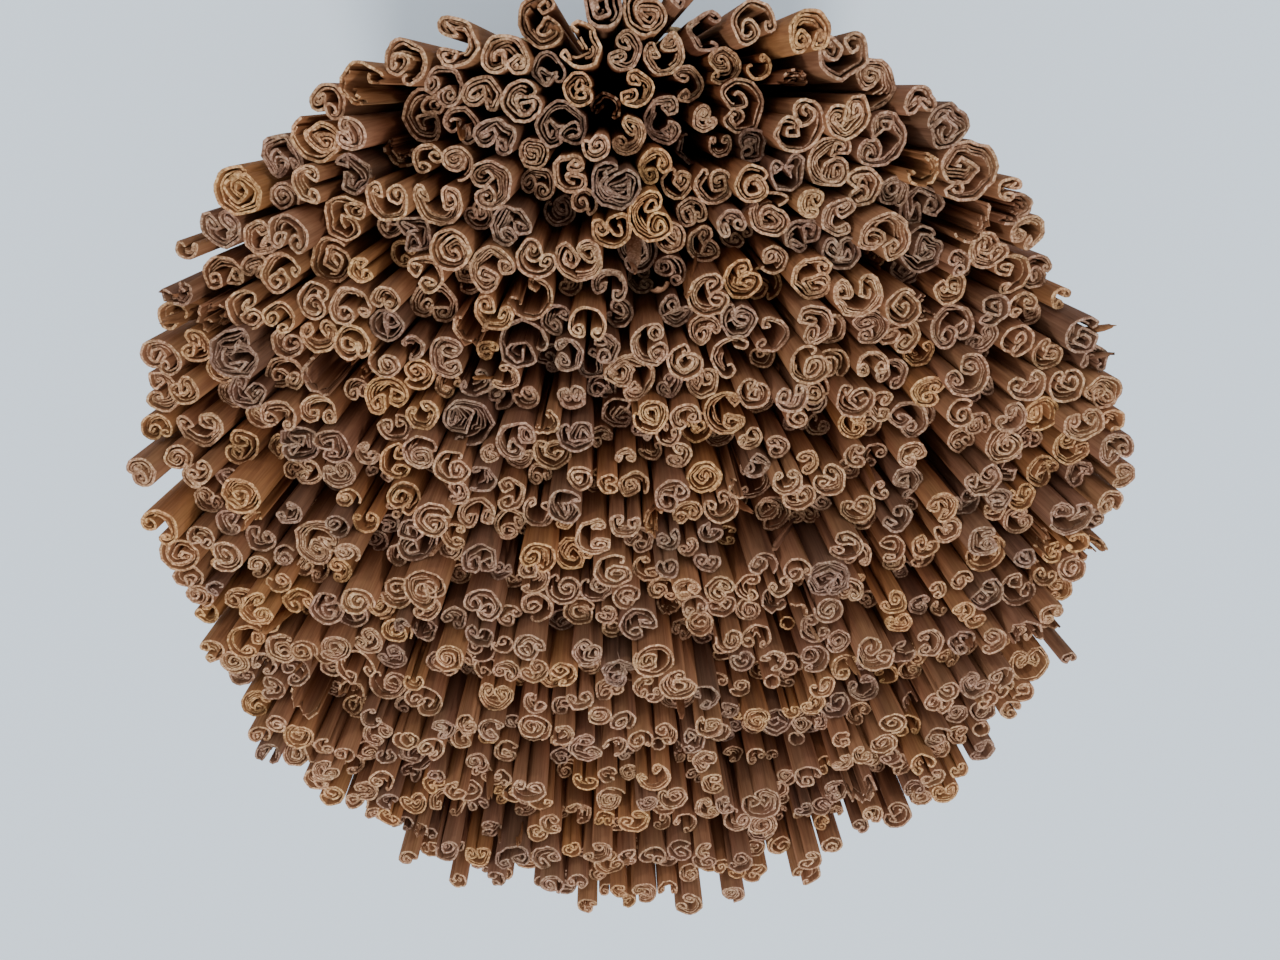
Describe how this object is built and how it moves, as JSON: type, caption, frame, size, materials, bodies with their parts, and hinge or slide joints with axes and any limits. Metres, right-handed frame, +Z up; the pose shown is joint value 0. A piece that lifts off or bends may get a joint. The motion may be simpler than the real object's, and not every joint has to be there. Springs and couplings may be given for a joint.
{
  "type": "bundle of cinnamon sticks",
  "caption": "Round sheaf of rolled cinnamon quills standing on end, bound with twine, with ragged upper ends.",
  "frame": {"origin": "middle of the flat foot that the sheaf stands on, under the middle of its bounding box", "axes": "+Z up along the quills; X and Y across the sheaf, with the shown side's far rim towards +Y"},
  "size_m": [0.3386, 0.3482, 0.477],
  "materials": {
    "bark": "dry, slightly silky rolled bark with pale cut edges",
    "twine": "rough laid plant fibre"
  },
  "bodies": {
    "root": {"cinnamon_quills": "bark", "lower_tie": "twine", "upper_tie": "twine"}
  },
  "joints": []
}
